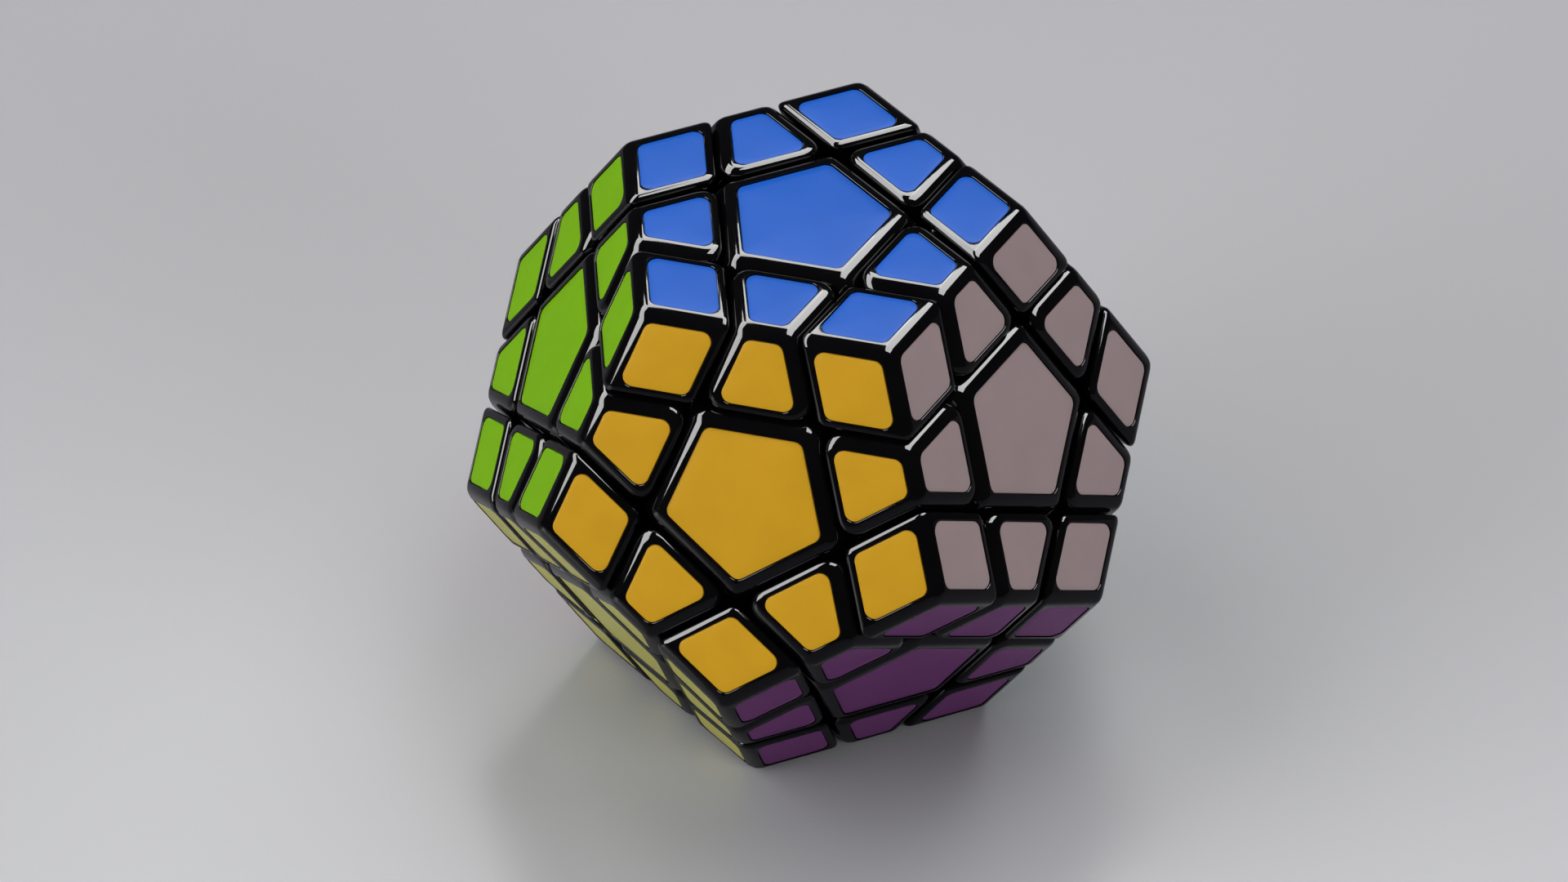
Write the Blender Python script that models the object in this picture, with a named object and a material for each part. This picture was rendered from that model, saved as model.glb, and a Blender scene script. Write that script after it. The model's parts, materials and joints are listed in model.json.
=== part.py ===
"""A dodecahedron twisty puzzle: twelve faces, each a layer of one centre, five edges and five corners.

Every layer is parted from the rest by one surface of revolution about its face's axis. Outside the
shell radius that surface is a flat cut. Inside it is a wide cone, so that each corner's foot reaches
under the edges, and each edge's foot under the centres. The centres are what holds the puzzle
together: a screw runs through each into the core, and a spring under its head presses the centre in.

Metres, +Z up. The origin is the centre of the core, where the twelve turning axes meet.
"""

import math

import bmesh
import bpy
from mathutils import Matrix, Vector

# Driving dimensions
EDGE_LENGTH = 0.0365  # one edge of the whole dodecahedron
CUT_SHARE = 0.706  # height of a layer's flat cut, as a share of the height of its face
GAP = 0.0004  # width of the slot between neighbouring pieces
FOOT_ANGLE = math.radians(50.0)  # half angle of the cone that parts the feet
SHELL_SHARE = 0.972  # radius where the flat cuts end and the cones begin, as a share of the face height
SHELL_PLAY = 0.0003  # what the feet keep below the shell radius, and the caps above it
RIM_CHAMFER = 0.0009  # along every edge of the outer faces

# Feet: heights are distances from the origin along the piece's own direction
EDGE_FOOT_FLOOR = 0.0290
CORNER_FOOT_FLOOR = 0.0310
CORNER_FOOT_TOP_TILTS = (math.radians(8.0), math.radians(11.0))  # its top's facets, by edges and faces
CORNER_TIP_TILT = math.radians(13.0)  # where the three tips of a corner's foot are cut off
FACET_HALF_WIDTH = math.radians(6.0)  # half the turn that one flat facet of a foot's cone spans
NECK_FLOOR = 0.0375
NECK_INSET = 0.0002  # keeps a neck's walls off the planes of the cap and foot that it joins
NECK_RISE = 0.0040  # how far a neck runs up into its cap

# Core, and the hardware on a turning face's axis: heights are distances from the origin
HUB_HEIGHT = 0.0125
HUB_CORNER_HEIGHT = 0.0140
ARM_RADIUS = 0.0045
ARM_TOP = 0.0220
STEM_FLOOR = 0.0224
STEM_TOP = 0.0396
WELL_RADIUS = 0.0040
WELL_FLOOR = 0.0280
WELL_TOP = 0.0384
CAP_CEILING = 0.0390  # the hollow under a centre's cap goes no higher than this
CAP_FLOOR = 0.0350  # below the hollow's rim, so that the hollow runs out of the cap
DOME_TILTS = (math.radians(15.0), math.radians(18.0))  # the hollow's facets, by sides and by corners
OVERCUT = 0.0010  # how far a tool runs past the face that it cuts through
SHANK_RADIUS = 0.0014
SHANK_TIP = 0.0150
SHANK_PLAY = 0.0005
THREAD_PLAY = 0.0002
PILOT_FLOOR = 0.0142
HEAD_RADIUS = 0.0031
HEAD_FLOOR = 0.0350
HEAD_THICKNESS = 0.0019
RECESS_WIDTH = 0.0008
RECESS_LENGTH = 0.0036
RECESS_DEPTH = 0.0011
SPRING_RADIUS = 0.0025
WIRE_RADIUS = 0.00032
SPRING_PLAY = 0.0001  # between the spring and the faces that it presses on
SPRING_TURNS = 5
POINTS_PER_TURN = 12
ROUND_SIDES = 24
SHARP_ANGLE = math.radians(30.0)

# Geometry of the regular dodecahedron
FACE_HEIGHT = EDGE_LENGTH / 2 * math.sqrt(5 / 2 + 11 / 10 * math.sqrt(5))
FACE_TO_FACE = math.atan(2.0)  # angle between the normals of two faces that share an edge
FACE_TO_EDGE = FACE_TO_FACE / 2
FACE_TO_CORNER = math.atan(3 - math.sqrt(5))
EDGE_TO_END_FACE = math.pi / 2 - FACE_TO_EDGE
CUT_HEIGHT = CUT_SHARE * FACE_HEIGHT
SHELL_RADIUS = SHELL_SHARE * FACE_HEIGHT
ABOVE_CUT = CUT_HEIGHT + GAP / 2
BELOW_CUT = CUT_HEIGHT - GAP / 2
CAP_UNDERSIDE = SHELL_RADIUS + SHELL_PLAY
FOOT_TOP = SHELL_RADIUS - SHELL_PLAY

UPPER_RING = ("yellow", "grey", "orange", "pink", "green")
LOWER_RING = ("cream", "purple", "teal", "white", "red")
TURNING = ("blue", "purple", "red")  # no two of these faces share an edge or a corner

BLACK = (0.012, 0.012, 0.014)
STEEL = (0.62, 0.62, 0.64)


def tilted(tilt, azimuth=0.0):
    """The unit vector at this angle from +Z, towards this azimuth."""
    return Vector(
        (math.sin(tilt) * math.cos(azimuth), math.sin(tilt) * math.sin(azimuth), math.cos(tilt))
    )


def face_normals():
    """Each face's outward normal by its colour, with the blue face on top and the yellow in front."""
    normals = {"blue": Vector((0, 0, 1)), "cyan": Vector((0, 0, -1))}
    fifth = math.tau / 5
    for i in range(5):
        upper = -math.pi / 2 + i * fifth
        lower = upper - fifth / 2
        normals[UPPER_RING[i]] = tilted(FACE_TO_FACE, upper)
        normals[LOWER_RING[i]] = tilted(math.pi - FACE_TO_FACE, lower)
    return normals


def across(direction, axis):
    """The unit vector that points from the axis towards this direction, at right angles to the axis."""
    return (direction - direction.dot(axis) * axis).normalized()


def outside_cone(axis, towards):
    """The half space of a piece that the layer leaves behind: a plane tangent to the layer's cone."""
    side = across(towards, axis)
    normal = math.sin(FOOT_ANGLE) * axis - math.cos(FOOT_ANGLE) * side
    return normal, -GAP / 2


def inside_cone(axis, towards):
    """The half spaces of a piece that turns with the layer: two facets that stay within its cone."""
    tilt = math.atan(math.tan(FOOT_ANGLE) * math.cos(FACET_HALF_WIDTH))
    planes = []
    for turn in (-FACET_HALF_WIDTH, FACET_HALF_WIDTH):
        side = Matrix.Rotation(turn, 3, axis) @ across(towards, axis)
        planes.append((math.cos(tilt) * side - math.sin(tilt) * axis, -GAP / 2))
    return planes


def carved(name, planes):
    """A convex mesh: a large cube cut down to what lies behind each (outward normal, distance) plane."""
    bm = bmesh.new()
    bmesh.ops.create_cube(bm, size=4 * FACE_HEIGHT)
    for normal, distance in planes:
        geometry = bm.verts[:] + bm.edges[:] + bm.faces[:]
        cut = bmesh.ops.bisect_plane(
            bm, geom=geometry, plane_co=normal * distance, plane_no=normal, clear_outer=True
        )
        rim = [item for item in cut["geom_cut"] if isinstance(item, bmesh.types.BMEdge)]
        if rim:
            bmesh.ops.contextual_create(bm, geom=rim)
    bmesh.ops.recalc_face_normals(bm, faces=bm.faces[:])
    mesh = bpy.data.meshes.new(name)
    bm.to_mesh(mesh)
    bm.free()
    return mesh


def carved_cap(name, planes, faces):
    """A carved mesh whose outer faces have chamfered rims."""
    mesh = carved(name, planes)
    bm = bmesh.new()
    bm.from_mesh(mesh)
    rims = [
        edge
        for edge in bm.edges
        if any(all(abs(v.co.dot(n) - FACE_HEIGHT) < 1e-6 for v in edge.verts) for n in faces)
    ]
    bmesh.ops.bevel(bm, geom=rims, offset=RIM_CHAMFER, segments=1, profile=0.5, affect="EDGES")
    bm.to_mesh(mesh)
    bm.free()
    return mesh


def cylinder(name, radius, floor, top, direction=Vector((0, 0, 1)), turned=0.0):
    """A round bar along a direction from the origin, between two distances from it."""
    bm = bmesh.new()
    bmesh.ops.create_cone(
        bm, cap_ends=True, segments=ROUND_SIDES, radius1=radius, radius2=radius, depth=top - floor
    )
    place = direction.to_track_quat("Z", "Y").to_matrix().to_4x4()
    middle = Matrix.Translation(Vector((0, 0, (floor + top) / 2)))
    bm.transform(place @ middle @ Matrix.Rotation(turned, 4, "Z"))
    mesh = bpy.data.meshes.new(name)
    bm.to_mesh(mesh)
    bm.free()
    return mesh


def combined(name, base, steps):
    """The mesh that a run of Boolean (operation, tool mesh) steps makes of the base mesh."""
    made = [bpy.data.objects.new(name, base)]
    bpy.context.scene.collection.objects.link(made[0])
    for operation, tool in steps:
        helper = bpy.data.objects.new(tool.name, tool)
        bpy.context.scene.collection.objects.link(helper)
        boolean = made[0].modifiers.new(tool.name, "BOOLEAN")
        boolean.operation = operation
        boolean.object = helper
        made.append(helper)
    bpy.context.view_layer.update()
    graph = bpy.context.evaluated_depsgraph_get()
    mesh = bpy.data.meshes.new_from_object(made[0].evaluated_get(graph))
    for obj in made:
        bpy.data.objects.remove(obj)
    mesh.name = name
    return mesh


def corner_mesh():
    """A corner, pointing along +Z: a cap that shows on three faces, over a domed three-sided foot."""
    up = Vector((0, 0, 1))
    faces = [tilted(FACE_TO_CORNER, k * math.tau / 3) for k in range(3)]
    cap = [(n, FACE_HEIGHT) for n in faces] + [(-n, -ABOVE_CUT) for n in faces]
    foot = [(-up, -CORNER_FOOT_FLOOR)]
    for k, normal in enumerate(faces):
        towards_face = k * math.tau / 3
        towards_edge = towards_face + math.pi / 3
        foot += inside_cone(normal, up)
        for tilt, azimuth in zip(CORNER_FOOT_TOP_TILTS, (towards_edge, towards_face)):
            foot.append((tilted(tilt, azimuth), FOOT_TOP))
        foot.append((tilted(CORNER_TIP_TILT + math.pi / 2, towards_face), 0.0))
    steps = [("UNION", carved("corner_foot", foot))]
    return combined("corner", carved_cap("corner_cap", cap, faces), steps)


def edge_mesh():
    """An edge, pointing along +Z and running along X: a wedge over a foot that lies across it."""
    up = Vector((0, 0, 1))
    own = [tilted(FACE_TO_EDGE, side * math.pi / 2) for side in (1, -1)]
    ends = [tilted(EDGE_TO_END_FACE, azimuth) for azimuth in (0.0, math.pi)]
    cap = [(n, FACE_HEIGHT) for n in own] + [(-n, -ABOVE_CUT) for n in own]
    cap += [(n, BELOW_CUT) for n in ends]
    end_walls = [outside_cone(n, up) for n in ends]
    neck = [(-n, -ABOVE_CUT - NECK_INSET) for n in own]
    neck += [(normal, distance - NECK_INSET) for normal, distance in end_walls]
    neck += [(n, FACE_HEIGHT - RIM_CHAMFER) for n in own]
    neck += [(up, CAP_UNDERSIDE + NECK_RISE), (-up, -NECK_FLOOR)]
    foot = [(-up, -EDGE_FOOT_FLOOR)] + end_walls
    for normal in own:
        foot += inside_cone(normal, up)
    # The foot's half length lifts its ends above the barrel that rounds its top
    half_length = FOOT_TOP * math.sin(EDGE_TO_END_FACE - FOOT_ANGLE)
    barrel_radius = math.sqrt(FOOT_TOP**2 - half_length**2)
    reach = 2 * FACE_HEIGHT
    along, over = Vector((1, 0, 0)), Vector((0, 1, 0))
    barrel = cylinder("barrel", barrel_radius, -reach, reach, along)
    rounded_foot = combined("edge_foot", carved("edge_foot_block", foot), [("INTERSECT", barrel)])
    hollow_radius = CAP_UNDERSIDE / math.cos(math.pi / ROUND_SIDES)
    hollow = cylinder("hollow", hollow_radius, -reach, reach, over)
    steps = [("DIFFERENCE", hollow), ("UNION", carved("edge_neck", neck)), ("UNION", rounded_foot)]
    return combined("edge", carved_cap("edge_cap", cap, own), steps)


def centre_solid():
    """A centre without its well, pointing along +Z: a five-sided cap on a tapered five-sided stem."""
    up = Vector((0, 0, 1))
    neighbours = [tilted(FACE_TO_FACE, k * math.tau / 5) for k in range(5)]
    cap = [(up, FACE_HEIGHT), (-up, -CAP_FLOOR)] + [(n, BELOW_CUT) for n in neighbours]
    dome = [(up, CAP_CEILING), (-up, OVERCUT - CAP_FLOOR)]
    for k in range(5):
        for tilt, azimuth in zip(DOME_TILTS, (k * math.tau / 5, (k + 0.5) * math.tau / 5)):
            dome.append((tilted(tilt, azimuth), CAP_UNDERSIDE))
    stem = [(up, STEM_TOP), (-up, -STEM_FLOOR)] + [outside_cone(n, up) for n in neighbours]
    steps = [("DIFFERENCE", carved("centre_dome", dome)), ("UNION", carved("centre_stem", stem))]
    return combined("fixed_centre", carved_cap("centre_cap", cap, [up]), steps)


def turning_centre_mesh():
    """A centre with the well that holds its spring and screw head, and the bore that the screw runs in."""
    well = cylinder("well", WELL_RADIUS, WELL_FLOOR, WELL_TOP)
    bore = cylinder("bore", SHANK_RADIUS + SHANK_PLAY, STEM_FLOOR - OVERCUT, WELL_FLOOR + OVERCUT)
    return combined("centre", centre_solid(), [("DIFFERENCE", well), ("DIFFERENCE", bore)])


def screw_mesh():
    """A round-headed screw along +Z, with a cross recess."""
    head_top = HEAD_FLOOR + HEAD_THICKNESS
    head = cylinder("head", HEAD_RADIUS, HEAD_FLOOR, head_top)
    shank = cylinder("shank", SHANK_RADIUS, SHANK_TIP, HEAD_FLOOR + HEAD_THICKNESS / 4)
    steps = [("UNION", shank)]
    for turn in (0.0, math.pi / 2):
        along = Matrix.Rotation(turn, 3, "Z") @ Vector((1, 0, 0))
        beside = Matrix.Rotation(turn, 3, "Z") @ Vector((0, 1, 0))
        slot = [(Vector((0, 0, 1)), head_top + OVERCUT)]
        slot.append((Vector((0, 0, -1)), RECESS_DEPTH - head_top))
        slot += [(side * along, RECESS_LENGTH / 2) for side in (1, -1)]
        slot += [(side * beside, RECESS_WIDTH / 2) for side in (1, -1)]
        steps.append(("DIFFERENCE", carved("recess", slot)))
    screw = combined("screw", head, steps)
    screw.shade_smooth()
    screw.set_sharp_from_angle(angle=SHARP_ANGLE)
    return screw


def core_mesh(normals, fixed_centre):
    """The hub with an arm along each axis. The arms of the faces that don't turn carry their centres."""
    hub = [(n, HUB_HEIGHT) for n in normals.values()]
    hub += [(d, HUB_CORNER_HEIGHT) for d in corner_directions(normals)]
    steps = []
    for colour, normal in normals.items():
        top = ARM_TOP if colour in TURNING else STEM_FLOOR + OVERCUT
        steps.append(("UNION", cylinder(f"arm_{colour}", ARM_RADIUS, HUB_HEIGHT / 2, top, normal)))
        if colour in TURNING:
            radius = SHANK_RADIUS + THREAD_PLAY
            pilot = cylinder(f"pilot_{colour}", radius, PILOT_FLOOR, ARM_TOP + OVERCUT, normal)
            steps.append(("DIFFERENCE", pilot))
        else:
            seat = fixed_centre.copy()
            seat.transform(centre_turn(normal, normals).to_4x4())
            steps.append(("UNION", seat))
    return combined("core_with_fixed_centres", carved("hub", hub), steps)


def adjacent(a, b):
    """Whether two faces share an edge."""
    return abs(a.angle(b) - FACE_TO_FACE) < 0.01


def face_groups(normals, size):
    """Every group of this many faces that all touch each other, as sorted lists of colours."""
    groups = [[]]
    for _ in range(size):
        groups = [
            group + [colour]
            for group in groups
            for colour in normals
            if all(adjacent(normals[colour], normals[other]) for other in group)
            and (not group or list(normals).index(colour) > list(normals).index(group[-1]))
        ]
    return groups


def corner_directions(normals):
    """The unit vectors to the dodecahedron's twenty corners."""
    groups = face_groups(normals, 3)
    return [sum((normals[c] for c in group), Vector()).normalized() for group in groups]


def turn_to(z_axis, x_axis):
    """The rotation that takes +Z and +X to these directions."""
    return Matrix((x_axis, z_axis.cross(x_axis), z_axis)).transposed()


def centre_turn(normal, normals):
    """The rotation that stands a centre on its face's axis, a side of its cap against each neighbour."""
    neighbour = next(n for n in normals.values() if adjacent(n, normal))
    return turn_to(normal, across(neighbour, normal))


def edge_turn(a, b):
    """The rotation that lays an edge along the meeting line of faces a and b."""
    return turn_to((a + b).normalized(), a.cross(b).normalized())


def corner_turn(a, b, c):
    """The rotation that points a corner at the point where faces a, b and c meet."""
    outward = (a + b + c).normalized()
    return turn_to(outward, across(a, outward))


def spring_points():
    """Points along the coil, whose first and last turns lie nearly flat so that it stands square."""
    low = WELL_FLOOR + WIRE_RADIUS + SPRING_PLAY
    high = HEAD_FLOOR - WIRE_RADIUS - SPRING_PLAY
    flat = 2.2 * WIRE_RADIUS  # rise of an end turn, a little over the wire's own thickness
    points = []
    for i in range(SPRING_TURNS * POINTS_PER_TURN + 1):
        turns = i / POINTS_PER_TURN
        angle = math.tau * turns
        middle = (turns - 1) / (SPRING_TURNS - 2)
        if turns < 1:
            height = low + flat * turns
        elif turns > SPRING_TURNS - 1:
            height = high - flat * (SPRING_TURNS - turns)
        else:
            height = low + flat + (high - low - 2 * flat) * middle
        points.append((SPRING_RADIUS * math.cos(angle), SPRING_RADIUS * math.sin(angle), height))
    return points


def spring_curve():
    """The coil spring that stands in a centre's well, along +Z."""
    curve = bpy.data.curves.new("spring", "CURVE")
    curve.dimensions = "3D"
    curve.bevel_depth = WIRE_RADIUS
    curve.bevel_resolution = 2
    curve.use_fill_caps = True
    points = spring_points()
    spline = curve.splines.new("POLY")
    spline.points.add(len(points) - 1)
    for point, place in zip(spline.points, points):
        point.co = (*place, 1.0)
    return curve


def material(name, colour, metallic, roughness):
    """A Principled material."""
    made = bpy.data.materials.new(name)
    made.use_nodes = True
    shader = made.node_tree.nodes["Principled BSDF"]
    shader.inputs["Base Color"].default_value = (*colour, 1.0)
    shader.inputs["Metallic"].default_value = metallic
    shader.inputs["Roughness"].default_value = roughness
    return made


def placed(name, data, turn, parent, collection):
    """One piece of the puzzle: a copy of a mesh or curve, turned into place about the origin."""
    obj = bpy.data.objects.new(name, data)
    collection.objects.link(obj)
    obj.parent = parent
    obj.matrix_world = turn.to_4x4()
    return obj


def build():
    """Clears the scene and builds the puzzle at rest, each turning layer under an empty on its axis."""
    for obj in list(bpy.data.objects):
        bpy.data.objects.remove(obj)
    collection = bpy.data.collections.new("dodecahedron_puzzle")
    bpy.context.scene.collection.children.link(collection)
    plastic = material("black_plastic", BLACK, 0.0, 0.18)
    steel = material("steel", STEEL, 1.0, 0.3)

    normals = face_normals()
    layers = {}
    for colour in TURNING:
        turn = centre_turn(normals[colour], normals)
        layers[colour] = placed(f"layer_{colour}", None, turn, None, collection)

    def layer_of(group):
        return next((layers[colour] for colour in group if colour in layers), None)

    centre = turning_centre_mesh()
    edge = edge_mesh()
    corner = corner_mesh()
    core = core_mesh(normals, centre_solid())
    for mesh in (centre, edge, corner, core):
        mesh.materials.append(plastic)
    screw = screw_mesh()
    spring = spring_curve()
    for data in (screw, spring):
        data.materials.append(steel)

    placed("core_with_fixed_centres", core, Matrix.Identity(3), None, collection)
    for colour in TURNING:
        turn = centre_turn(normals[colour], normals)
        placed(f"centre_{colour}", centre, turn, layers[colour], collection)
        placed(f"screw_{colour}", screw, turn, None, collection)
        placed(f"spring_{colour}", spring, turn, None, collection)
    for group in face_groups(normals, 2):
        turn = edge_turn(*(normals[colour] for colour in group))
        placed("_".join(["edge", *group]), edge, turn, layer_of(group), collection)
    for group in face_groups(normals, 3):
        turn = corner_turn(*(normals[colour] for colour in group))
        placed("_".join(["corner", *group]), corner, turn, layer_of(group), collection)


build()
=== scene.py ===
"""The looks of the dodecahedron twisty puzzle: rounded black shells, set-in tiles and steel hardware.

Each kind of piece is built once, pointing along +Z from the centre of the core, and its mesh is then
turned into every place where the puzzle has one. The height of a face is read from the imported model,
and the cuts, gaps and feet repeat that model's design.
"""

import json
import math

import bmesh
import bpy
from mathutils import Matrix, Vector


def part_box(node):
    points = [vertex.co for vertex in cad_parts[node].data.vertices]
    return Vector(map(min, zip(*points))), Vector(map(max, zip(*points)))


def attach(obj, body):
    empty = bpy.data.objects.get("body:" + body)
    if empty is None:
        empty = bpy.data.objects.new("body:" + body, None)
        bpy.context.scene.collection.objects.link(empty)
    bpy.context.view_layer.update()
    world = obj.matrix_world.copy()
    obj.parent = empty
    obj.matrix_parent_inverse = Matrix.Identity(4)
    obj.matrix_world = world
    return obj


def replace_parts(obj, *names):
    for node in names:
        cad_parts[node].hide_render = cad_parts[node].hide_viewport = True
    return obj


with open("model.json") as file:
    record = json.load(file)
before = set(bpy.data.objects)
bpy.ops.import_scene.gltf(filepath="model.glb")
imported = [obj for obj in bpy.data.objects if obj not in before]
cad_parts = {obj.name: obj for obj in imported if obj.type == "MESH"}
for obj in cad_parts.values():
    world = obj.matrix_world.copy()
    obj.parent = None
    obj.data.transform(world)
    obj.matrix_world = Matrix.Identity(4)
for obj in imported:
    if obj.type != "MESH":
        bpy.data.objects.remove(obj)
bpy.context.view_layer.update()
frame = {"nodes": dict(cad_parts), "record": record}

UP = Vector((0, 0, 1))

# Shape of the pieces, in metres. Floors and tops are distances from the core's centre.
FACE_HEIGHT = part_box("centre_blue")[1].z
CUT_SHARE = 0.706  # height of a layer's flat cut, as a share of the height of its face
GAP = 0.0004  # width of the slot between neighbouring pieces
FOOT_ANGLE = math.radians(50.0)  # half angle of the cone that parts the feet
SHELL_RADIUS = 0.972 * FACE_HEIGHT  # where the flat cuts end and the cones begin
SHELL_PLAY = 0.0003  # what the feet keep below the shell radius, and the caps above it
ABOVE_CUT = CUT_SHARE * FACE_HEIGHT + GAP / 2
BELOW_CUT = CUT_SHARE * FACE_HEIGHT - GAP / 2
CAP_UNDERSIDE = SHELL_RADIUS + SHELL_PLAY
FOOT_TOP = SHELL_RADIUS - SHELL_PLAY
EDGE_FOOT_FLOOR = 0.0290
CORNER_FOOT_FLOOR = 0.0310
CORNER_FOOT_TOP_TILTS = (math.radians(8.0), math.radians(11.0))  # its top's facets, by edges and faces
CORNER_TIP_TILT = math.radians(13.0)  # where the three tips of a corner's foot are cut off
FACET_HALF_WIDTH = math.radians(6.0)  # half the turn that one flat facet of a foot's cone spans
NECK_FLOOR = 0.0375
NECK_INSET = 0.0002  # keeps a neck's walls off the planes of the cap and foot that it joins
NECK_RISE = 0.0030  # how far a neck runs up into its cap
STEM_FLOOR = 0.0224
CAP_CEILING = 0.0388  # the hollow under a centre's cap goes no higher than this
CAP_FLOOR = 0.0350  # below the hollow's rim, so that the hollow runs out of the cap
DOME_TILTS = (math.radians(15.0), math.radians(18.0))  # the hollow's facets, by sides and by corners
LID_DEPTH = 0.0026  # from the face of a centre to the seam of its cap
LID_ROOF = 0.0016  # from the face of a centre to the hollow inside its cap
LID_SEAM = 0.00004  # between a centre's body and its cap
OVERCUT = 0.0010  # how far a tool runs past the face that it cuts through
WELL_RADIUS = 0.0040
WELL_FLOOR = 0.0280
BORE_RADIUS = 0.0019
PILOT_RADIUS = 0.0016
PILOT_FLOOR = 0.0142
HUB_RADIUS = 0.0135
HUB_SUBDIVISIONS = 4
ARM_RADIUS = 0.0045
ARM_TOP = 0.0220

# Angles of the regular dodecahedron
FACE_TO_FACE = math.atan(2.0)  # between the normals of two faces that share an edge
FACE_TO_EDGE = FACE_TO_FACE / 2
FACE_TO_CORNER = math.atan(3 - math.sqrt(5))
EDGE_TO_END_FACE = math.pi / 2 - FACE_TO_EDGE
SAME_ANGLE = 0.01  # angles in radians, or their sines, that differ by less are the same

# Rims, tiles and pockets
RIM_WIDTH = 0.0380 * FACE_HEIGHT  # from the edge of a shell to where its rounding starts
RIM_STEPS = 6
CORNER_RADIUS = 0.0540 * FACE_HEIGHT  # of a shell's corners, seen from above
CORNER_STEPS = 6
ON_FACE = 1e-6  # a point this near to a face of the dodecahedron lies on it
FOOT_RIM_WIDTH = 0.0004
CUT_MARGIN = 0.0497 * FACE_HEIGHT  # from the side of a tile to a layer's cut, measured across the face
OUTER_MARGIN = 0.0419 * FACE_HEIGHT  # from the side of a tile to the edge of the dodecahedron
TILE_CORNER = 0.0360 * FACE_HEIGHT  # radius of the circle that rounds a tile's corner
TILE_THICKNESS = 0.0008
TILE_SINK = 0.00002  # how far the middle of a tile stays below the face
TILE_SWELL = 0.020  # how far a tile's middle stands above its rim, as a share of its reach
TILE_EDGE = 0.00014  # radius of the rounding along a tile's upper edge
TILE_EDGE_STEPS = 3
TILE_GAP = 0.00010  # between a tile and its pocket
POCKET_LIP = 0.00003  # depth and width of the bevel at a pocket's mouth
SWELL_SHARES = (0.85, 0.70, 0.55, 0.40, 0.25, 0.10)  # loops of a tile's swollen top, as shares of its rim
ARC_STEPS = 8
ROUND_SIDES = 48

# Colours of the faces round the top one and round the bottom one, anticlockwise as seen from above
UPPER_RING = ("yellow", "grey", "orange", "pink", "green")
LOWER_RING = ("cream", "purple", "teal", "white", "red")
TURNING = ("blue", "purple", "red")  # no two of these faces share an edge or a corner


def tilted(tilt, azimuth=0.0):
    """The unit vector at this angle from +Z, towards this azimuth."""
    return Vector(
        (math.sin(tilt) * math.cos(azimuth), math.sin(tilt) * math.sin(azimuth), math.cos(tilt))
    )


def face_normals():
    """Each face's outward normal by its colour."""
    normals = {"blue": Vector((0, 0, 1)), "cyan": Vector((0, 0, -1))}
    fifth = math.tau / 5
    for i in range(5):
        upper = -math.pi / 2 + i * fifth
        normals[UPPER_RING[i]] = tilted(FACE_TO_FACE, upper)
        normals[LOWER_RING[i]] = tilted(math.pi - FACE_TO_FACE, upper - fifth / 2)
    return normals


def across(direction, axis):
    """The unit vector that points from the axis towards this direction, at right angles to the axis."""
    return (direction - direction.dot(axis) * axis).normalized()


def turn_to(z_axis, x_axis):
    """The rotation that takes +Z and +X to these directions."""
    return Matrix((x_axis, z_axis.cross(x_axis), z_axis)).transposed()


def outside_cone(axis, towards):
    """The half space outside a layer's cone: a plane tangent to it."""
    side = across(towards, axis)
    return math.sin(FOOT_ANGLE) * axis - math.cos(FOOT_ANGLE) * side, -GAP / 2


def inside_cone(axis, towards):
    """The half spaces of two facets that stay within a layer's cone."""
    tilt = math.atan(math.tan(FOOT_ANGLE) * math.cos(FACET_HALF_WIDTH))
    planes = []
    for turn in (-FACET_HALF_WIDTH, FACET_HALF_WIDTH):
        side = Matrix.Rotation(turn, 3, axis) @ across(towards, axis)
        planes.append((math.cos(tilt) * side - math.sin(tilt) * axis, -GAP / 2))
    return planes


def mesh_from(bm, name):
    """Turns a bmesh into a mesh and frees it."""
    bmesh.ops.recalc_face_normals(bm, faces=bm.faces[:])
    mesh = bpy.data.meshes.new(name)
    bm.to_mesh(mesh)
    bm.free()
    return mesh


def body_behind(planes):
    """The convex body of what lies behind each (outward normal, distance) plane, as a bmesh."""
    bm = bmesh.new()
    bmesh.ops.create_cube(bm, size=4 * FACE_HEIGHT)
    for normal, distance in planes:
        geometry = bm.verts[:] + bm.edges[:] + bm.faces[:]
        cut = bmesh.ops.bisect_plane(
            bm, geom=geometry, plane_co=normal * distance, plane_no=normal, clear_outer=True
        )
        edges = [item for item in cut["geom_cut"] if isinstance(item, bmesh.types.BMEdge)]
        if edges:
            bmesh.ops.contextual_create(bm, geom=edges)
    bmesh.ops.recalc_face_normals(bm, faces=bm.faces[:])
    return bm


def round_off(bm, edges, offset, steps):
    """Rounds some edges of a bmesh, from this far on either side of them."""
    bmesh.ops.bevel(
        bm, geom=edges, offset=offset, segments=steps, profile=0.5, affect="EDGES", clamp_overlap=True
    )


def carved(name, planes, rim=0.0, steps=2, rounded=None):
    """A convex mesh of what lies behind some planes, with its edges rounded.

    rounded, if given, tells by an edge's two ends whether that edge is rounded.
    """
    bm = body_behind(planes)
    if rim:
        edges = [e for e in bm.edges if rounded is None or rounded(*(v.co for v in e.verts))]
        round_off(bm, edges, rim, steps)
    return mesh_from(bm, name)


def cap_mesh(name, faces, walls):
    """The outer part of a corner or edge. Its corners between walls are rounded first, then its rims."""
    bm = body_behind([(n, FACE_HEIGHT) for n in faces] + walls)

    def on_a_face(point):
        return any(abs(point.dot(n) - FACE_HEIGHT) < ON_FACE for n in faces)

    def is_rim(edge):
        return any(on_a_face(face.calc_center_median()) for face in edge.link_faces)

    corners = [e for e in bm.edges if not is_rim(e) and any(on_a_face(v.co) for v in e.verts)]
    turn = corners[0].calc_face_angle()
    round_off(bm, corners, CORNER_RADIUS * math.tan(turn / 2), CORNER_STEPS)
    round_off(bm, [e for e in bm.edges if is_rim(e)], RIM_WIDTH, RIM_STEPS)
    return mesh_from(bm, name)


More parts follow.
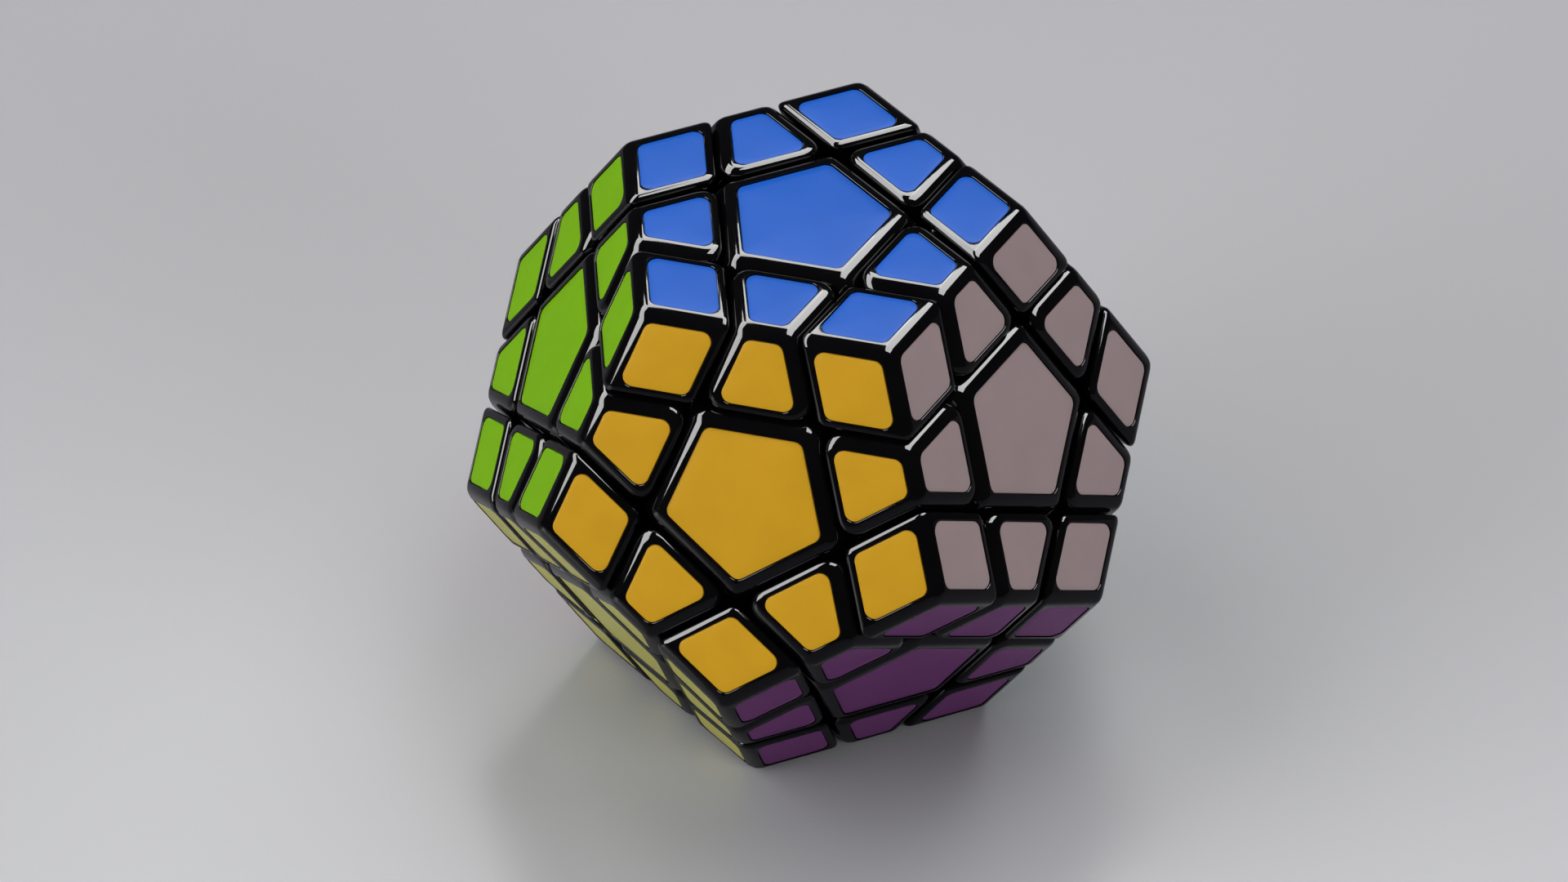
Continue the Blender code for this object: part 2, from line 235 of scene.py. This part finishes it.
def cylinder(name, radius, floor, top, direction=UP):
    """A round bar along a direction from the origin, between two distances from it."""
    bm = bmesh.new()
    bmesh.ops.create_cone(
        bm, cap_ends=True, segments=ROUND_SIDES, radius1=radius, radius2=radius, depth=top - floor
    )
    place = direction.to_track_quat("Z", "Y").to_matrix().to_4x4()
    bm.transform(place @ Matrix.Translation(Vector((0, 0, (floor + top) / 2))))
    return mesh_from(bm, name)


def combined(name, base, steps):
    """The mesh that a run of Boolean (operation, tool mesh) steps makes of the base mesh."""
    made = [bpy.data.objects.new(name, base)]
    bpy.context.scene.collection.objects.link(made[0])
    for operation, tool in steps:
        helper = bpy.data.objects.new(tool.name, tool)
        bpy.context.scene.collection.objects.link(helper)
        boolean = made[0].modifiers.new(tool.name, "BOOLEAN")
        boolean.operation = operation
        boolean.object = helper
        made.append(helper)
    bpy.context.view_layer.update()
    graph = bpy.context.evaluated_depsgraph_get()
    mesh = bpy.data.meshes.new_from_object(made[0].evaluated_get(graph))
    for obj in made:
        bpy.data.objects.remove(obj)
    mesh.name = name
    return mesh


def clipped(points, normal, distance):
    """The part of a flat polygon that lies behind a plane."""
    kept = []
    for a, b in zip(points, points[1:] + points[:1]):
        side_a = a.dot(normal) - distance
        side_b = b.dot(normal) - distance
        if side_a <= 0:
            kept.append(a)
        if (side_a < 0) != (side_b < 0):
            kept.append(a.lerp(b, side_a / (side_a - side_b)))
    return kept


class Outline:
    """A tile's outline on a face of the dodecahedron: a polygon with rounded corners."""

    def __init__(self, face, planes):
        side = across(UP if face.cross(UP).length > SAME_ANGLE else Vector((1, 0, 0)), face)
        self.face = face
        self.turn = turn_to(face, side)
        reach = 2 * FACE_HEIGHT
        corners = [Vector((x, y, FACE_HEIGHT)) for x, y in ((1, 1), (-1, 1), (-1, -1), (1, -1))]
        points = [self.turn @ Vector((c.x * reach, c.y * reach, c.z)) for c in corners]
        for normal, distance in planes:
            points = clipped(points, normal, distance)
        self.arcs = []
        flat = [self.turn.transposed() @ p for p in points]
        for i, corner in enumerate(flat):
            before = (flat[i - 1] - corner).normalized()
            after = (flat[(i + 1) % len(flat)] - corner).normalized()
            half = before.angle(after) / 2
            middle = corner + (before + after).normalized() * TILE_CORNER / math.sin(half)
            self.arcs.append((middle, math.atan2(before.x, -before.y), math.pi - 2 * half))
        centre = sum((arc[0] for arc in self.arcs), Vector()) / len(self.arcs)
        self.reach = sum((arc[0] - centre).length for arc in self.arcs) / len(self.arcs)

    def ring(self, bm, offset, height):
        """A closed loop of vertices, this far outside the outline and above the face."""
        ring = []
        for middle, first, sweep in self.arcs:
            for step in range(ARC_STEPS + 1):
                angle = first + sweep * step / ARC_STEPS
                radius = TILE_CORNER + offset
                place = Vector((math.cos(angle), math.sin(angle), 0)) * radius + middle
                place.z = FACE_HEIGHT + height
                ring.append(bm.verts.new(self.turn @ place))
        return ring

    def solid(self, name, levels, swell=0.0):
        """A closed mesh through loops at these (offset, height) levels, from the bottom up.

        The top swells by this much towards its middle.
        """
        bm = bmesh.new()
        rings = [self.ring(bm, offset, height) for offset, height in levels]
        rim = [vert.co.copy() for vert in rings[-1]]
        middle = sum(rim, Vector()) / len(rim)
        for share in SWELL_SHARES if swell else ():
            lift = self.face * swell * (1 - share**2)
            rings.append([bm.verts.new(middle.lerp(point, share) + lift) for point in rim])
        for low, high in zip(rings, rings[1:]):
            count = len(low)
            for i in range(count):
                j = (i + 1) % count
                bm.faces.new((low[i], low[j], high[j], high[i]))
        bm.faces.new(list(reversed(rings[0])))
        bm.faces.new(rings[-1])
        return mesh_from(bm, name)

    def tile(self, name):
        """The tile: a thin plate with softly rounded edges and a slightly swelling top."""
        swell = TILE_SWELL * self.reach
        top = -TILE_SINK - swell
        levels = [(-TILE_EDGE / 2, -TILE_THICKNESS), (0.0, TILE_EDGE / 2 - TILE_THICKNESS)]
        for step in range(TILE_EDGE_STEPS + 1):
            angle = math.pi / 2 * step / TILE_EDGE_STEPS
            offset = TILE_EDGE * (math.cos(angle) - 1)
            levels.append((offset, top + TILE_EDGE * (math.sin(angle) - 1)))
        return self.solid(name, levels, swell)

    def pocket(self, name):
        """What is cut out of a shell to take the tile, with a small lip at its mouth."""
        levels = [
            (TILE_GAP, -TILE_THICKNESS - TILE_GAP),
            (TILE_GAP, -POCKET_LIP),
            (TILE_GAP + 3 * POCKET_LIP, 2 * POCKET_LIP),
        ]
        return self.solid(name, levels)


ACROSS_FACE = math.sin(FACE_TO_FACE)  # a distance across a face, as a distance along a neighbour's normal
TILE_ABOVE_CUT = CUT_SHARE * FACE_HEIGHT + CUT_MARGIN * ACROSS_FACE
TILE_BELOW_CUT = CUT_SHARE * FACE_HEIGHT - CUT_MARGIN * ACROSS_FACE
TILE_BELOW_EDGE = FACE_HEIGHT - OUTER_MARGIN * ACROSS_FACE


def corner_kind():
    """A corner, pointing along +Z: its shell, and the outline of each of its tiles."""
    faces = [tilted(FACE_TO_CORNER, k * math.tau / 3) for k in range(3)]
    outlines = []
    for k, face in enumerate(faces):
        others = [faces[k - 1], faces[k - 2]]
        planes = [(-n, -TILE_ABOVE_CUT) for n in others] + [(n, TILE_BELOW_EDGE) for n in others]
        outlines.append(Outline(face, planes))
    cap = cap_mesh("cap", faces, [(-n, -ABOVE_CUT) for n in faces])
    foot = [(-UP, -CORNER_FOOT_FLOOR)]
    for k, normal in enumerate(faces):
        towards_face = k * math.tau / 3
        foot += inside_cone(normal, UP)
        for tilt, azimuth in zip(CORNER_FOOT_TOP_TILTS, (towards_face + math.pi / 3, towards_face)):
            foot.append((tilted(tilt, azimuth), FOOT_TOP))
        foot.append((tilted(CORNER_TIP_TILT + math.pi / 2, towards_face), 0.0))
    steps = [("DIFFERENCE", outline.pocket("pocket")) for outline in outlines]
    steps.append(("UNION", carved("foot", foot, FOOT_RIM_WIDTH)))
    return combined("corner_shell", cap, steps), outlines


def edge_kind():
    """An edge, pointing along +Z and running along X: its shell, and the outlines of its tiles."""
    own = [tilted(FACE_TO_EDGE, side * math.pi / 2) for side in (1, -1)]
    ends = [tilted(EDGE_TO_END_FACE, azimuth) for azimuth in (0.0, math.pi)]
    outlines = []
    for face, other in zip(own, reversed(own)):
        planes = [(-other, -TILE_ABOVE_CUT), (other, TILE_BELOW_EDGE)]
        outlines.append(Outline(face, planes + [(n, TILE_BELOW_CUT) for n in ends]))
    walls = [(-n, -ABOVE_CUT) for n in own] + [(n, BELOW_CUT) for n in ends]
    end_walls = [outside_cone(n, UP) for n in ends]
    neck = [(-n, -ABOVE_CUT - NECK_INSET) for n in own]
    neck += [(normal, distance - NECK_INSET) for normal, distance in end_walls]
    neck += [(n, FACE_HEIGHT - RIM_WIDTH) for n in own]
    neck += [(UP, CAP_UNDERSIDE + NECK_RISE), (-UP, -NECK_FLOOR)]
    foot = [(-UP, -EDGE_FOOT_FLOOR)] + end_walls
    for normal in own:
        foot += inside_cone(normal, UP)
    half_length = FOOT_TOP * math.sin(EDGE_TO_END_FACE - FOOT_ANGLE)
    reach = 2 * FACE_HEIGHT
    along, over = Vector((1, 0, 0)), Vector((0, 1, 0))
    barrel = cylinder("barrel", math.sqrt(FOOT_TOP**2 - half_length**2), -reach, reach, along)
    rounded_foot = combined("edge_foot", carved("foot", foot, FOOT_RIM_WIDTH), [("INTERSECT", barrel)])
    hollow = cylinder("hollow", CAP_UNDERSIDE / math.cos(math.pi / ROUND_SIDES), -reach, reach, over)
    steps = [("DIFFERENCE", outline.pocket("pocket")) for outline in outlines]
    steps += [("DIFFERENCE", hollow), ("UNION", carved("neck", neck)), ("UNION", rounded_foot)]
    return combined("edge_shell", cap_mesh("cap", own, walls), steps), outlines


def centre_kind():
    """A centre, pointing along +Z: its body with the screw's well, its cap, and the outline of its tile."""
    neighbours = [tilted(FACE_TO_FACE, k * math.tau / 5) for k in range(5)]
    walls = [(n, BELOW_CUT) for n in neighbours]
    outline = Outline(UP, [(n, TILE_BELOW_CUT) for n in neighbours])
    split = FACE_HEIGHT - LID_DEPTH

    def not_floor(a, b):
        return max(a.z, b.z) > split + OVERCUT

    planes = [(UP, FACE_HEIGHT), (-UP, -split - LID_SEAM)] + walls
    lid = carved("lid", planes, RIM_WIDTH, RIM_STEPS, not_floor)
    lid_hollow = cylinder("hollow", WELL_RADIUS, split - OVERCUT, FACE_HEIGHT - LID_ROOF)
    steps = [("DIFFERENCE", outline.pocket("pocket")), ("DIFFERENCE", lid_hollow)]
    lid = combined("centre_cap", lid, steps)

    def upright(a, b):
        return abs(a.z - b.z) > OVERCUT

    rim = [(UP, split), (-UP, -CAP_FLOOR)] + walls
    dome = [(UP, CAP_CEILING), (-UP, OVERCUT - CAP_FLOOR)]
    for k in range(5):
        for tilt, azimuth in zip(DOME_TILTS, (k * math.tau / 5, (k + 0.5) * math.tau / 5)):
            dome.append((tilted(tilt, azimuth), CAP_UNDERSIDE))
    stem = [(UP, split - LID_SEAM), (-UP, -STEM_FLOOR)] + [outside_cone(n, UP) for n in neighbours]
    well = cylinder("well", WELL_RADIUS, WELL_FLOOR, split + OVERCUT)
    bore = cylinder("bore", BORE_RADIUS, STEM_FLOOR - OVERCUT, WELL_FLOOR + OVERCUT)
    steps = [("DIFFERENCE", carved("dome", dome))]
    steps += [("UNION", carved("stem", stem, FOOT_RIM_WIDTH, 2, upright))]
    steps += [("DIFFERENCE", well), ("DIFFERENCE", bore)]
    body = combined("centre_body", carved("rim", rim, RIM_WIDTH, RIM_STEPS, upright), steps)
    return body, lid, outline


def hub_mesh(normals):
    """The core: a ball with an arm along each face's axis, bored for the screws."""
    ball = bmesh.new()
    bmesh.ops.create_icosphere(ball, subdivisions=HUB_SUBDIVISIONS, radius=HUB_RADIUS)
    steps = [("UNION", cylinder("arm", ARM_RADIUS, HUB_RADIUS / 2, ARM_TOP, n)) for n in normals.values()]
    for n in normals.values():
        steps.append(("DIFFERENCE", cylinder("pilot", PILOT_RADIUS, PILOT_FLOOR, ARM_TOP + OVERCUT, n)))
    return combined("hub", mesh_from(ball, "ball"), steps)


def adjacent(a, b):
    """Whether two faces share an edge."""
    return abs(a.angle(b) - FACE_TO_FACE) < SAME_ANGLE


def face_groups(normals, size):
    """Every group of this many faces that all touch each other, as sorted lists of colours."""
    order = list(normals)
    groups = [[]]
    for _ in range(size):
        groups = [
            group + [colour]
            for group in groups
            for colour in normals
            if all(adjacent(normals[colour], normals[other]) for other in group)
            and (not group or order.index(colour) > order.index(group[-1]))
        ]
    return groups


# Materials


class Nodes:
    """A small helper that adds shader nodes to a material and links them."""

    def __init__(self, name):
        self.material = bpy.data.materials.new(name)
        self.material.use_nodes = True
        self.tree = self.material.node_tree
        self.shader = self.tree.nodes["Principled BSDF"]

    def add(self, kind, inputs=None, **settings):
        """Adds a node, sets its properties, and fills its inputs with values or links."""
        node = self.tree.nodes.new(kind)
        for key, value in settings.items():
            setattr(node, key, value)
        for key, value in (inputs or {}).items():
            self.feed(node.inputs[key], value)
        return node

    def feed(self, socket, value):
        """Links an output to this input, or sets the input's value."""
        if isinstance(value, bpy.types.NodeSocket):
            self.tree.links.new(value, socket)
        else:
            socket.default_value = value

    def place(self, stretch=(1.0, 1.0, 1.0), tilt=(0.0, 0.0, 0.0)):
        """The point being shaded, in millimetres, stretched and turned."""
        spot = self.add("ShaderNodeTexCoord").outputs["Object"]
        scale = tuple(1000.0 * s for s in stretch)
        inputs = {"Vector": spot, "Scale": scale, "Rotation": tilt}
        return self.add("ShaderNodeMapping", inputs).outputs["Vector"]

    def noise(self, scale, detail=3.0, roughness=0.5, **where):
        """Noise whose patches are about 1 / scale millimetres wide, from 0 to 1."""
        inputs = {"Vector": self.place(**where), "Scale": scale, "Detail": detail, "Roughness": roughness}
        return self.add("ShaderNodeTexNoise", inputs).outputs["Fac"]

    def spread(self, value, low, high, from_low=0.3, from_high=0.7):
        """Maps a value onto this range."""
        inputs = {"Value": value, "From Min": from_low, "From Max": from_high}
        inputs |= {"To Min": low, "To Max": high}
        return self.add("ShaderNodeMapRange", inputs).outputs["Result"]

    def sum(self, *values):
        """The sum of some values."""
        total = values[0]
        for value in values[1:]:
            total = self.add("ShaderNodeMath", {0: total, 1: value}, operation="ADD").outputs[0]
        return total

    def blend(self, share, first, second):
        """A colour between two colours."""
        node = self.add("ShaderNodeMix", {"Factor": share}, data_type="RGBA")
        self.feed(node.inputs[6], first)
        self.feed(node.inputs[7], second)
        return node.outputs[2]

    def bump(self, height, distance, strength=1.0, below=None):
        """A normal bumped by a height."""
        inputs = {"Height": height, "Distance": distance, "Strength": strength}
        if below is not None:
            inputs["Normal"] = below
        return self.add("ShaderNodeBump", inputs).outputs["Normal"]

    def hairlines(self, amount):
        """Fine scratches in two directions, from 0 to about the amount."""
        marks = []
        for tilt in ((0.4, 0.9, 0.3), (1.3, 0.2, 2.1)):
            streaks = self.noise(1.0, 2.0, stretch=(14.0, 0.12, 14.0), tilt=tilt)
            marks.append(self.spread(streaks, 0.0, amount, 0.68, 0.74))
        return self.sum(*marks)


def black_plastic():
    """Glossy black moulded plastic: handling smudges, fine hairlines and a faint ripple from the mould."""
    n = Nodes("glossy_black")
    smudges = n.spread(n.noise(0.10, 4.0, 0.6), 0.0, 1.0, 0.35, 0.75)
    haze = n.noise(1.3, 3.0)
    scratches = n.hairlines(0.06)
    roughness = n.sum(n.spread(smudges, 0.035, 0.075, 0.0, 1.0), n.spread(haze, 0.0, 0.015), scratches)
    colour = n.blend(smudges, (0.0012, 0.0012, 0.0016, 1), (0.0025, 0.0025, 0.0030, 1))
    n.feed(n.shader.inputs["Base Color"], colour)
    n.feed(n.shader.inputs["Roughness"], roughness)
    n.shader.inputs["IOR"].default_value = 1.5
    ripple = n.bump(n.noise(0.35, 2.0), 0.000012)
    n.feed(n.shader.inputs["Normal"], n.bump(n.noise(3.0, 2.0), 0.0000008, 1.0, ripple))
    return n.material


def tile_plastic(name, colour):
    """Satin coloured plastic: slight mottling, a fine orange peel, smudges and hairlines."""
    n = Nodes(f"satin_{name}")
    mottle = n.spread(n.noise(0.16, 3.0), 0.0, 1.0)
    darker = tuple(0.97 * c for c in colour)
    lighter = tuple(min(1.0, 1.03 * c) for c in colour)
    n.feed(n.shader.inputs["Base Color"], n.blend(mottle, (*darker, 1), (*lighter, 1)))
    smudges = n.noise(0.12, 4.0, 0.6)
    roughness = n.sum(n.spread(smudges, 0.33, 0.37), n.spread(n.noise(2.0), 0.0, 0.02), n.hairlines(0.05))
    n.feed(n.shader.inputs["Roughness"], roughness)
    n.shader.inputs["IOR"].default_value = 1.46
    n.shader.inputs["Specular IOR Level"].default_value = 0.10
    n.feed(n.shader.inputs["Normal"], n.bump(n.noise(3.0, 2.0), 0.000004, 0.5))
    return n.material


def zinc_steel():
    """Zinc-plated steel: slightly streaked and uneven in its shine."""
    n = Nodes("zinc_steel")
    streaks = n.noise(1.0, 3.0, stretch=(6.0, 6.0, 0.5))
    n.feed(n.shader.inputs["Base Color"], n.blend(streaks, (0.50, 0.51, 0.53, 1), (0.66, 0.66, 0.68, 1)))
    n.shader.inputs["Metallic"].default_value = 1.0
    n.feed(n.shader.inputs["Roughness"], n.spread(streaks, 0.22, 0.40))
    n.feed(n.shader.inputs["Normal"], n.bump(n.noise(8.0), 0.00001, 0.5))
    return n.material


# Colours of the tiles. The last six belong to faces that the photo doesn't show.
TILE_COLOURS = {
    "blue": (0.000, 0.090, 0.490),
    "yellow": (0.680, 0.366, 0.019),
    "green": (0.190, 0.450, 0.000),
    "grey": (0.366, 0.280, 0.282),
    "purple": (0.188, 0.055, 0.197),
    "cream": (0.690, 0.670, 0.182),
    "orange": (0.700, 0.130, 0.012),
    "pink": (0.700, 0.140, 0.280),
    "teal": (0.006, 0.210, 0.180),
    "white": (0.680, 0.680, 0.660),
    "red": (0.480, 0.012, 0.014),
    "cyan": (0.070, 0.400, 0.600),
}

black = black_plastic()
steel = zinc_steel()
tile_materials = {name: tile_plastic(name, colour) for name, colour in TILE_COLOURS.items()}


# Placing the pieces

SMOOTH_UNDER = math.radians(40.0)
body_of_node = {
    node: body for body, nodes in frame["record"]["behaviour"]["bodies"].items() for node in nodes
}
normals = face_normals()


def piece(name, mesh, turn, body):
    """One visible piece: a copy of a mesh, turned into place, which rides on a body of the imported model."""
    own = mesh.copy()
    own.transform(turn.to_4x4())
    obj = bpy.data.objects.new(name, own)
    bpy.context.scene.collection.objects.link(obj)
    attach(obj, body)
    return obj


def finished(mesh, material):
    """A mesh with its material, shaded smooth except at sharp edges."""
    mesh.materials.clear()
    mesh.materials.append(material)
    mesh.shade_smooth()
    mesh.set_sharp_from_angle(angle=SMOOTH_UNDER)
    return mesh


def tile_meshes(outline, kind):
    """The tile of this outline, once for each colour."""
    shape = outline.tile(f"{kind}_tile")
    return {colour: finished(shape.copy(), tile_materials[colour]) for colour in TILE_COLOURS}


def add_tiles(name, tiles, turn, body):
    """Sets a tile into each pocket of a shell, in the colour of the face that it lies on."""
    for outline, meshes in tiles:
        face = turn @ outline.face
        colour = max(normals, key=lambda c: normals[c].dot(face))
        piece(f"{name}_tile_{colour}", meshes[colour], turn, body)


def build_shells():
    """Every corner and edge, with its tiles."""
    for kind, size, (shell, outlines) in (("edge", 2, edge_kind()), ("corner", 3, corner_kind())):
        finished(shell, black)
        tiles = [(outline, tile_meshes(outline, kind)) for outline in outlines]
        for group in face_groups(normals, size):
            node = "_".join([kind, *group])
            name = "_".join([*group, kind])
            outward = sum((normals[c] for c in group), Vector()).normalized()
            first, second = (normals[c] for c in group[:2])
            side = first.cross(second).normalized() if size == 2 else across(first, outward)
            turn = turn_to(outward, side)
            body = body_of_node[node]
            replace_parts(piece(f"{name}_shell", shell, turn, body), node)
            add_tiles(name, tiles, turn, body)


def build_centres():
    """Every centre: its body, its cap and its tile. The fixed ones share the core's node with the hub."""
    centre, lid, outline = centre_kind()
    finished(centre, black)
    finished(lid, black)
    tiles = [(outline, tile_meshes(outline, "centre"))]
    for colour, normal in normals.items():
        neighbour = next(n for n in normals.values() if adjacent(n, normal))
        turn = turn_to(normal, across(neighbour, normal))
        node = f"centre_{colour}" if colour in TURNING else "core_with_fixed_centres"
        body = body_of_node[node]
        part = piece(f"{colour}_centre_body", centre, turn, body)
        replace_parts(part, node)
        piece(f"{colour}_centre_cap", lid, turn, body)
        add_tiles(f"{colour}_centre", tiles, turn, body)


build_shells()
build_centres()
core = piece("core_hub", finished(hub_mesh(normals), black), Matrix.Identity(3), "core")
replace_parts(core, "core_with_fixed_centres")

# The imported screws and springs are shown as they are, in steel
for name, node in frame["nodes"].items():
    if name.startswith(("screw", "spring")):
        node.data.materials.clear()
        node.data.materials.append(steel)


# Floor, light and camera


FLOOR_SIZE = 12.0


def floor_material():
    """A plain pale floor with a soft gloss. The puzzle sees it darker than the camera does."""
    n = Nodes("floor")
    camera_ray = n.add("ShaderNodeLightPath").outputs["Is Camera Ray"]
    colour = n.blend(camera_ray, (0.145, 0.145, 0.165, 1), (0.430, 0.430, 0.450, 1))
    n.feed(n.shader.inputs["Base Color"], colour)
    n.shader.inputs["Roughness"].default_value = 0.26
    n.shader.inputs["Specular IOR Level"].default_value = 0.25
    return n.material


LIGHT_STEP = 0.01  # two lights in one place would hide each other


def softbox(name, direction, distance, along, size, cast, mirrored):
    """A rectangular light that faces the middle of the puzzle, with its first side along a direction.

    It is made as one light for what it casts and, just in front, one for how it is mirrored. Either is
    left out if its power is zero.
    """
    outward = Vector(direction).normalized()
    turn = turn_to(outward, across(Vector(along), outward)).to_4x4()
    for kind, power, reach in (("cast", cast, distance + LIGHT_STEP), ("mirrored", mirrored, distance)):
        if not power:
            continue
        data = bpy.data.lights.new(f"{name}_{kind}", "AREA")
        data.shape = "RECTANGLE"
        data.size, data.size_y = size
        data.energy = power
        light = bpy.data.objects.new(f"{name}_{kind}", data)
        bpy.context.scene.collection.objects.link(light)
        light.matrix_world = Matrix.Translation(outward * reach) @ turn
        light.visible_diffuse = kind == "cast"
        light.visible_glossy = kind == "mirrored"


def build_stage():
    """The floor and the light."""
    bpy.ops.mesh.primitive_plane_add(size=FLOOR_SIZE, location=(0, 0, -FACE_HEIGHT))
    floor = bpy.context.object
    floor.name = "floor"
    floor.data.materials.append(floor_material())
    world = bpy.data.worlds.new("studio")
    bpy.context.scene.world = world
    world.use_nodes = True
    world.node_tree.nodes["Background"].inputs["Color"].default_value = (0.03, 0.03, 0.033, 1)
    softbox("left_softbox", (-0.69, -0.21, 0.69), 1.2, (0.13, 0.90, 0.41), (2.2, 0.65), 13.8, 48.0)
    softbox("right_softbox", (0.30, 0.325, 1.0), 1.1, (0, 1, 0), (1.1, 0.6), 5.0, 24.0)
    softbox("top_softbox", (-0.22, 0.68, 1.0), 1.23, (1, 0, 0), (0.46, 0.42), 0.0, 6.6)
    softbox("right_fill", (0.80, -0.50, 0.35), 1.2, (0, 0, 1), (0.7, 0.7), 6.0, 0.0)
    softbox("left_fill", (-0.75, -0.60, 0.30), 1.2, (0, 0, 1), (0.7, 0.7), 2.5, 0.0)
    softbox("back_fill", (0.15, 0.90, 0.40), 1.2, (0, 0, 1), (0.7, 0.7), 4.0, 0.0)
    bpy.context.scene.view_settings.view_transform = "Standard"


CAMERA_AZIMUTH = math.radians(14.19)
CAMERA_ELEVATION = math.radians(42.70)
CAMERA_DISTANCE = 33.85 * FACE_HEIGHT
CAMERA_AIM = (-0.0850 * FACE_HEIGHT, -0.0506 * FACE_HEIGHT)  # right and up of the core's centre
CAMERA_LENS = 218.0  # in millimetres, as is the sensor's width
SENSOR_WIDTH = 36.0
CLIP_START = 0.1


def build_camera():
    """The camera, at the photo's angle: it looks down on the front face, from a little to the right."""
    data = bpy.data.cameras.new("camera")
    data.lens = CAMERA_LENS
    data.sensor_width = SENSOR_WIDTH
    data.clip_start = CLIP_START
    camera = bpy.data.objects.new("camera", data)
    bpy.context.scene.collection.objects.link(camera)
    level = math.cos(CAMERA_ELEVATION)
    backward = Vector((math.sin(CAMERA_AZIMUTH) * level, -math.cos(CAMERA_AZIMUTH) * level, 0))
    backward.z = math.sin(CAMERA_ELEVATION)
    right = UP.cross(backward).normalized()
    above = backward.cross(right)
    aim = CAMERA_AIM[0] * right + CAMERA_AIM[1] * above
    place = Matrix.Translation(aim + CAMERA_DISTANCE * backward)
    camera.matrix_world = place @ turn_to(backward, right).to_4x4()
    bpy.context.scene.camera = camera


build_stage()
build_camera()
